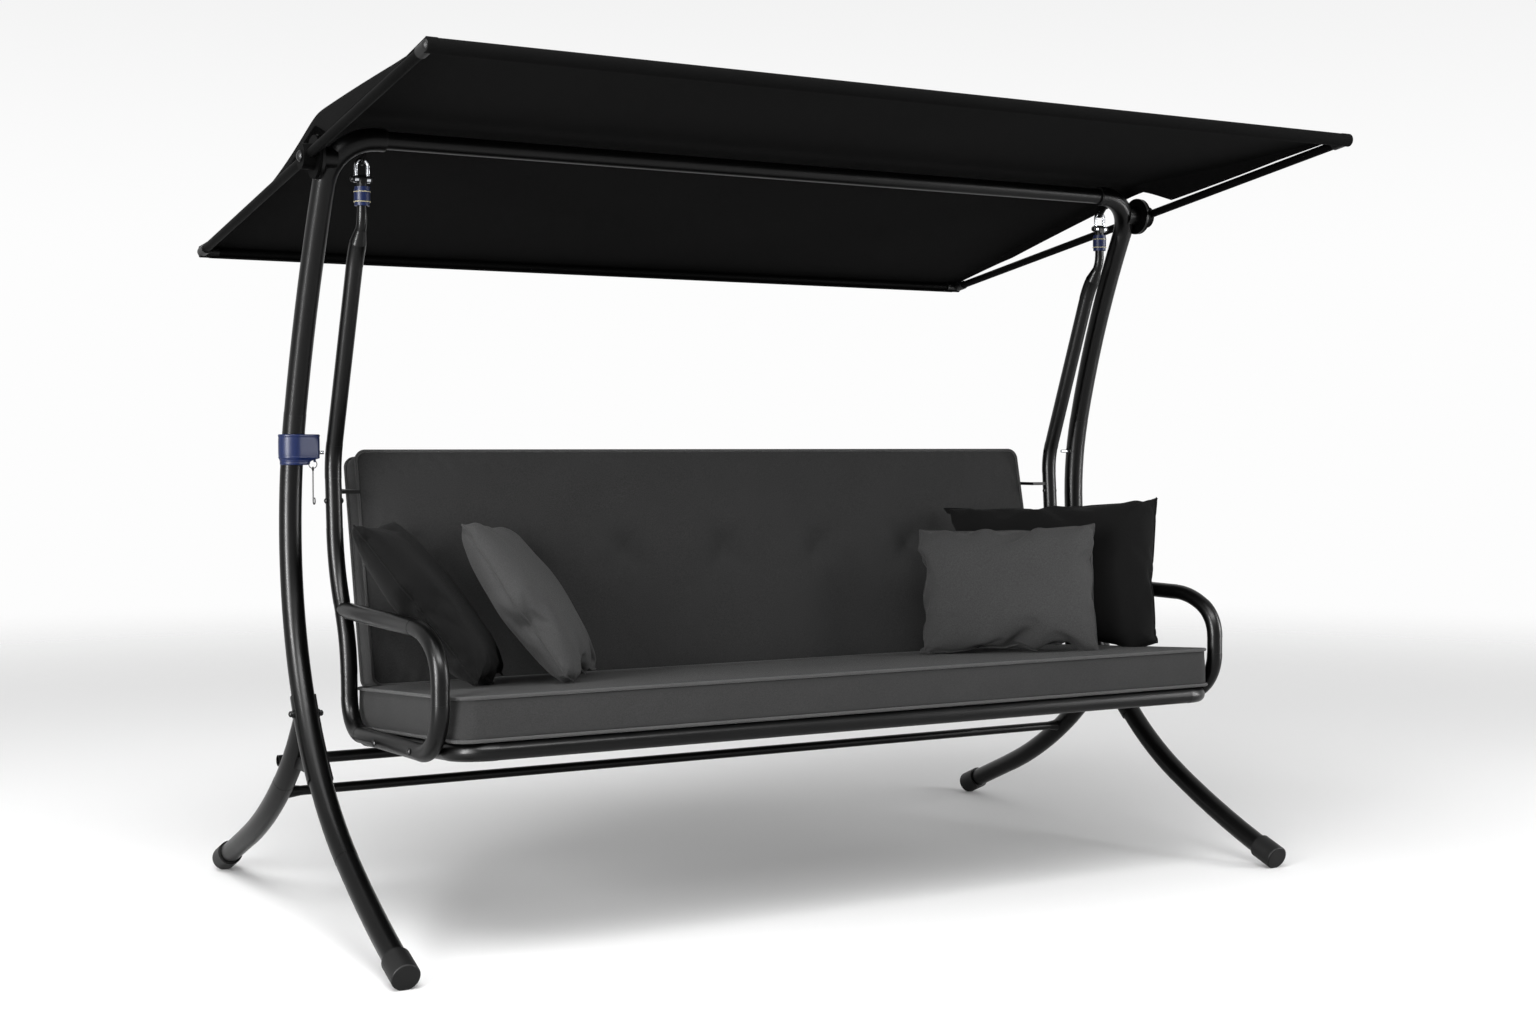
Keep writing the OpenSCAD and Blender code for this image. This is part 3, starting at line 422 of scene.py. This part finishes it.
def pillow(name, place, turn, lean, size, finish, slot, seed, node_name):
    """Two square panels sewn edge to edge and filled. The corners stand out as ears.

    Panels start slightly domed and uneven, 6 mm (1 - u^4) (1 - v^4), so that they fold.
    """
    w, h = size
    n, m = 40, 36
    u, v = np.meshgrid(eased(1, n), eased(1, m), indexing="ij")
    start = (1 - u**4) * (1 - v**4)
    up = 0.006 * start * (1 + 0.5 * ripples(u, v, 0.9, seed))
    down = -0.006 * start * (1 + 0.5 * ripples(u, v, 0.9, seed + 1))
    inner = np.zeros((n, m), bool)
    inner[1:-1, 1:-1] = True
    flat = [np.stack([u * w / 2, v * h / 2, z], -1) for z in (up, down)]
    points = np.concatenate([flat[0].reshape(-1, 3), flat[1][inner]])
    ids = np.arange(n * m).reshape(n, m)
    under = ids.copy()
    under[inner] = n * m + np.arange(inner.sum())
    faces = np.concatenate([grid_faces(ids), grid_faces(under)[:, ::-1]])
    cut = points.copy()
    points = inflated(points, faces)
    reach = np.abs(points).max(0)
    row, column = np.indices((n, m))
    column, row = (np.concatenate([k.ravel(), k[inner]]) for k in (column, row))
    hollow_x, hollow_y = np.abs(points[ids[-1], 0]), np.abs(points[ids[:, -1], 1])
    points[:, 0] *= ((reach[0] / hollow_x) ** 0.7)[column]
    points[:, 1] *= ((reach[1] / hollow_y) ** 0.7)[row]
    reach = np.abs(points).max(0)
    points *= (w / 2 / reach[0], h / 2 / reach[1], 0.059 / reach[2])
    t, d = turn, lean
    local = (
        placed(SEAT, place),
        np.array(
            [
                (cos(t), sin(t), 0),
                (-sin(t) * sin(d), cos(t) * sin(d), cos(d)),
                (sin(t) * cos(d), -cos(t) * cos(d), sin(d)),
            ]
        )
        @ SEAT[1],
    )
    points += (0, h / 2, 0)
    made = smoothed(piece(name, placed(local, points), faces, finish, "seat", cut), 2)
    cord_piece(
        name + "_piping", placed(local, points[border(n, m)]), local[1][2], 0.0022, finish, "seat"
    )
    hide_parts(node_name)
    return made


def standing(x, y, lean, h):
    """Place in the seat's frame of a pillow's lower edge on the seat cushion."""
    edge = 0.060 - h * h / 8 / 0.800
    return (x, y + 0.520, 0.1064 + edge * sin(lean) - 0.010)


for label, x, y, turn, lean, w, h, finish, slot, seed in (
    ("left_black", -0.749, -0.180, 60, 36, 0.400, 0.430, black_cotton, "black_cloth", 11),
    ("left_grey", -0.540, -0.190, 56, 33, 0.395, 0.410, grey_cotton, "grey_cloth", 21),
    ("right_grey", 0.590, -0.215, -40, 14, 0.440, 0.330, grey_cotton, "grey_cloth", 31),
    ("right_black", 0.754, -0.160, -50, 15, 0.570, 0.400, black_cotton, "black_cloth", 41),
):
    pillow(
        label + "_pillow_cover", standing(x, y, lean, h), turn, lean, (w, h), finish, slot, seed,
        label + "_pillow",
    )

# ---- Canopy ------------------------------------------------------------------
FRONT, REAR, RIDGE, RIDGE_Z = -0.718, 0.850, -0.025, 0.0835
WRAP = 0.0132  # radius of the sheet round a rail
HALF_WIDTH, HEM = 1.122, 0.979  # half the sheet's width, and the share of it where the hem turns
TUBE_TOP = 0.012  # height of the hem's lowest edge, just clear of the side tubes


def arc(y, first, last, n):
    """Points (y, z) round a rail, from one angle to another in degrees."""
    a = np.radians(np.linspace(first, last, n))
    return np.stack([y + WRAP * np.cos(a), WRAP * np.sin(a)], -1)


def canopy():
    """One sheet sewn round both rails and drawn over the ridge.

    Across, each side edge curves out by 12 mm sin(pi s) over the front half, which covers the
    side tubes, and in by 20 mm sin(pi s) over the rear half; between a rail and the
    ridge the sheet sags by 5 mm sin(pi s). The side hems turn down as far as the tubes allow.
    """
    slope = [math.degrees(math.atan2(RIDGE_Z - WRAP, abs(e - RIDGE))) for e in (FRONT, REAR)]
    front = arc(FRONT, 300, 90 + slope[0], 22)
    rear = arc(REAR, 90 - slope[1], -120, 22)
    s = np.linspace(0, 1, 44)[1:, None]
    up = front[-1] + s * ((RIDGE, RIDGE_Z) - front[-1])
    up[:, 1] -= 0.005 * np.sin(np.pi * s[:, 0])
    down = (RIDGE, RIDGE_Z) + s[:-1] * (rear[0] - (RIDGE, RIDGE_Z))
    down[:, 1] -= 0.005 * np.sin(np.pi * s[:-1, 0])
    line = np.concatenate([front, up, down, rear])
    crest = len(front) + len(up) - 1
    for _ in range(6):
        before, here, after = (line[crest + k - 3 : crest + k + 4, 1] for k in (-1, 0, 1))
        line[crest - 3 : crest + 4, 1] = (before + here + after) / 3
    along = np.concatenate([[0], np.cumsum(np.linalg.norm(np.diff(line, axis=0), axis=1))])
    half_s = np.where(
        line[:, 0] < RIDGE,
        (line[:, 0] - FRONT) / (RIDGE - FRONT),
        (REAR - line[:, 0]) / (REAR - RIDGE),
    )
    arch = np.sin(np.pi * np.clip(half_s, 0, 1))
    reach = HALF_WIDTH + np.where(line[:, 0] < RIDGE, 0.012, -0.020) * arch
    inner = np.linspace(-1, 1, 61) * 0.974
    hem = np.array([0.9765, 0.9785, 0.981, 0.988, 0.996, 1.0])
    t = np.concatenate([-hem[::-1], inner, hem])
    x = t[None] * reach[:, None]
    turned = np.clip((np.abs(t) - HEM) / 0.021, 0, 1)[None]
    room = np.maximum(line[:, 1:] - TUBE_TOP, 0)
    fall = 0.022 + 0.046 * np.clip((RIDGE - line[:, :1]) / 0.12, 0, 1)
    drop = np.minimum(fall, room) * turned
    folded = np.sign(x) * (HEM * reach[:, None] + 0.003 * turned)
    x = x + (folded - x) * np.clip(room / 0.02, 0, 1) * (turned > 0)
    y = np.repeat(line[:, :1], len(t), 1)
    slack = np.clip(arch, 0, 1)[:, None] * (1 - t[None] ** 6)
    z = line[:, 1:] + slack * 0.0016 * ripples(x, y, 0.7, 17)
    doubled = (np.abs(t) > HEM)[None] * 0.0009
    z = z + doubled - drop
    points = np.stack([x, y, z], -1)
    cut = np.stack([x, np.repeat(along[:, None], len(t), 1), 0 * x], -1)
    ids = np.arange(x.size).reshape(x.shape)
    made = piece(
        "canopy_sheet", placed(CANOPY, points), grid_faces(ids)[:, ::-1], canopy_cloth, "canopy",
        cut.reshape(-1, 3),
    )
    thick = made.modifiers.new("thickness", "SOLIDIFY")
    thick.thickness, thick.offset = 0.0016, 1
    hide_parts("canopy_fabric")


canopy()

# ---- Small fittings ----------------------------------------------------------


def circle(centre, radius, n=48):
    """Level circle: centre + r (cos a, sin a, 0)."""
    a = np.linspace(0, 2 * np.pi, n, endpoint=False)
    return np.array(centre) + radius * np.stack([np.cos(a), np.sin(a), 0 * a], -1)


for side in (-1, 1):
    label = "left" if side < 0 else "right"
    for i, z in enumerate((1.5545, 1.5335)):
        cord_piece(
            f"{label}_sleeve_ring_{i}", circle((side * ARM_X, -0.05337, z), 0.0170), (0, 0, 1),
            0.0011, cream_plastic, "seat",
        )


def collar():
    """Oval collar round the post, and the lug that holds its clip.

    Its outline is the hull of two circles: for each direction n, the further of C + R n and
    E + r n. Each row holds how oval it is, its inset and its height below the top.
    """
    low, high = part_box("lock_collar")
    big, small = 0.031, 0.0155
    middle = (low.y + high.y) / 2
    post, end = np.array([low.x + big, middle]), np.array([high.x - small, middle])
    around = 96
    a = np.linspace(0, 2 * np.pi, around, endpoint=False)
    n = np.stack([np.cos(a), np.sin(a)], -1)
    near = (big >= small + (end - post)[0] * n[:, 0])[:, None]
    round_it = post + big * n
    oval = np.where(near, round_it, end + small * n)
    rows = [
        (0.0, 0.0068, -0.0670), (0.3, 0.0045, -0.0670), (0.3, 0.0032, -0.0660),
        (0.35, 0.0030, -0.0610), (0.35, 0.0038, -0.0603), (0.4, 0.0030, -0.0596),
        (0.5, 0.0028, -0.0560), (1.0, 0.0016, -0.0535), (1.0, 0.0002, -0.0520),
        (1.0, 0.0, -0.0490), (1.0, 0.0009, -0.0482), (1.0, 0.0, -0.0474), (1.0, 0.0, -0.0270),
        (1.0, 0.0, -0.0072), (1.0, 0.0009, -0.0064), (1.0, -0.0004, -0.0056),
        (1.0, -0.0004, -0.0012), (1.0, 0.0008, 0.0), (0.9, 0.0030, 0.0), (0.0, 0.0068, 0.0),
    ]
    points = np.array(
        [
            np.column_stack(
                [round_it + k * (oval - round_it) - inset * n, np.full(around, high.z + z)]
            )
            for k, inset, z in rows
        ]
    )
    ids = np.arange(len(rows) * around).reshape(len(rows), around)
    made = piece(
        "lock_collar_cover", points, grid_faces(np.hstack([ids, ids[:, :1]]))[:, ::-1],
        navy_plastic, "frame",
    )
    smoothed(made)
    x, y, z = high.x - 0.011, middle, high.z - 0.0575
    corners = [
        (x + i, y + j, z + k)
        for i in (-0.0015, 0.0015)
        for j in (-0.004, 0.004)
        for k in (-0.0035, 0.006)
    ]
    lug = piece(
        "lock_collar_lug", corners,
        [(0, 1, 3, 2), (4, 6, 7, 5), (0, 4, 5, 1), (2, 3, 7, 6), (0, 2, 6, 4), (1, 5, 7, 3)],
        navy_plastic, "frame",
    )
    lug.data.shade_flat()
    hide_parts("lock_collar")


collar()

# ---- Finishes of the CAD nodes -----------------------------------------------
BY_NODE = {
    navy_plastic: ["hanger_sleeves", "lock_collar"],
    zinc: ["left_shackle", "right_shackle", "left_lock_pin", "right_lock_pin"],
    black_steel: [
        "clip_ring", "r_clip", "leg_bolts", "pivot_bolts", "shackle_bolts", "arm_bolts",
        "seat_bolts", "stay_pins",
    ],
    rubber: ["foot_caps"],
    dull_coat: [
        "left_canopy_tube", "right_canopy_tube", "front_canopy_rail", "rear_canopy_rail",
        "left_canopy_hub", "right_canopy_hub",
    ],
    black_plastic: ["beam_bushes", "canopy_corners", "right_lock_bush", "hanger_heads"],
    canopy_cloth: ["canopy_fabric"],
    anthracite_weave: ["seat_cushion", "back_cushion"],
    black_cotton: ["left_black_pillow", "right_black_pillow"],
    grey_cotton: ["left_grey_pillow", "right_grey_pillow"],
}
finish_of = {name: made for made, names in BY_NODE.items() for name in names}
for name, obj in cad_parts.items():
    obj.data.materials.clear()
    obj.data.materials.append(finish_of.get(name, powder_coat))

# ---- Stage -------------------------------------------------------------------
BACKDROP = "#fdfdfd"


def floor():
    """Pale floor that takes the shadow near the bench and meets the backdrop further out."""
    made, tree = blank("studio_floor")
    place = node(tree, "TexCoord").outputs["Object"]
    away = node(tree, "VectorMath", {0: place}, operation="LENGTH").outputs["Value"]
    fade = node(
        tree, "MapRange",
        {"Value": away, "From Min": 2.6, "From Max": 9.0, "To Min": 0.0, "To Max": 1.0},
        interpolation_type="SMOOTHSTEP",
    ).outputs["Result"]
    near = node(
        tree, "BsdfPrincipled",
        {"Base Color": linear("#f2f2f2"), "Roughness": 0.7, "Specular IOR Level": 0.15},
    ).outputs["BSDF"]
    far = node(tree, "BsdfTransparent").outputs[0]
    surface = node(tree, "MixShader", {0: fade, 1: near, 2: far}).outputs[0]
    node(tree, "OutputMaterial", {"Surface": surface})
    mesh = bpy.data.meshes.new("floor")
    a = np.linspace(0, 2 * np.pi, 64, endpoint=False)
    radius = 90
    rim = np.stack([radius * np.cos(a), radius * np.sin(a), 0 * a], -1)
    mesh.from_pydata(rim.tolist(), [], [list(range(64))])
    mesh.materials.append(made)
    obj = bpy.data.objects.new("floor", mesh)
    bpy.context.scene.collection.objects.link(obj)


def backdrop():
    """White to the camera and in reflections, and a little greyer overhead.

    Everything else is lit by a dimmer, even light.
    """
    world = bpy.data.worlds.new("studio")
    bpy.context.scene.world = world
    world.use_nodes = True
    tree = world.node_tree
    tree.nodes.clear()
    path = node(tree, "LightPath")
    seen = path.outputs["Is Camera Ray"]
    for kind in ("Is Glossy Ray", "Is Transmission Ray"):
        seen = node(tree, "Math", {0: seen, 1: path.outputs[kind]}, operation="MAXIMUM").outputs[0]
    lit = node(tree, "Background", {"Color": (1, 1, 1, 1), "Strength": 0.5}).outputs[0]
    height = node(
        tree, "SeparateXYZ", {"Vector": node(tree, "TexCoord").outputs["Generated"]}
    ).outputs["Z"]
    rim = node(
        tree, "MapRange",
        {"Value": height, "From Min": 0.34, "From Max": 0.08, "To Min": 0.0, "To Max": 1.0},
        interpolation_type="SMOOTHSTEP",
    ).outputs["Result"]
    pale = node(
        tree, "MixRGB", {"Fac": rim, "Color1": linear("#e9e9e9"), "Color2": linear(BACKDROP)}
    ).outputs["Color"]
    shown = node(tree, "Background", {"Color": pale, "Strength": 1.0}).outputs[0]
    mixed = node(tree, "MixShader", {0: seen, 1: lit, 2: shown}).outputs[0]
    node(tree, "OutputWorld", {"Surface": mixed})


def softbox(name, place, aim, size, power, lights_cloth=True):
    """Rectangular area light turned towards a point. Some only draw highlights on the tubes."""
    light = bpy.data.lights.new(name, "AREA")
    light.shape = "RECTANGLE"
    light.size, light.size_y = size
    light.energy = power
    obj = bpy.data.objects.new(name, light)
    bpy.context.scene.collection.objects.link(obj)
    obj.visible_diffuse = lights_cloth
    obj.location = place
    obj.rotation_mode = "QUATERNION"
    obj.rotation_quaternion = (Vector(aim) - Vector(place)).to_track_quat("-Z", "Y")


def camera():
    """Stands to the left of the bench, level with the backrest."""
    made = bpy.data.objects.new("camera", bpy.data.cameras.new("camera"))
    bpy.context.scene.collection.objects.link(made)
    made.data.lens, made.data.sensor_width = 47.46, 36
    made.data.clip_start, made.data.clip_end = 0.05, 300
    made.location = (-2.390, -4.193, 1.022)
    yaw, pitch = 29.97, -1.9
    made.rotation_mode = "QUATERNION"
    made.rotation_quaternion = Vector(
        (sin(yaw) * cos(pitch), cos(yaw) * cos(pitch), sin(pitch))
    ).to_track_quat("-Z", "Y")
    bpy.context.scene.camera = made


floor()
backdrop()
softbox("key", (-1.5, -1.5, 4.6), (0, 0, 0.5), (3.6, 3.6), 250)
softbox("left", (-4.6, -2.6, 1.6), (0, 0, 0.9), (1.6, 2.6), 190)
softbox("right", (4.0, -3.4, 1.7), (0, 0, 0.9), (1.2, 2.6), 90)
softbox("left_streak", (-4.6, -1.6, 1.4), (-0.6, 0, 0.9), (0.45, 3.8), 700, False)
softbox("right_streak", (4.4, -2.4, 1.4), (0.4, 0, 0.9), (0.3, 3.6), 260, False)
softbox("top_streak", (-0.6, -3.4, 4.0), (0, 0, 0.6), (4.4, 0.5), 420, False)
camera()
bpy.context.scene.view_settings.view_transform = "Standard"
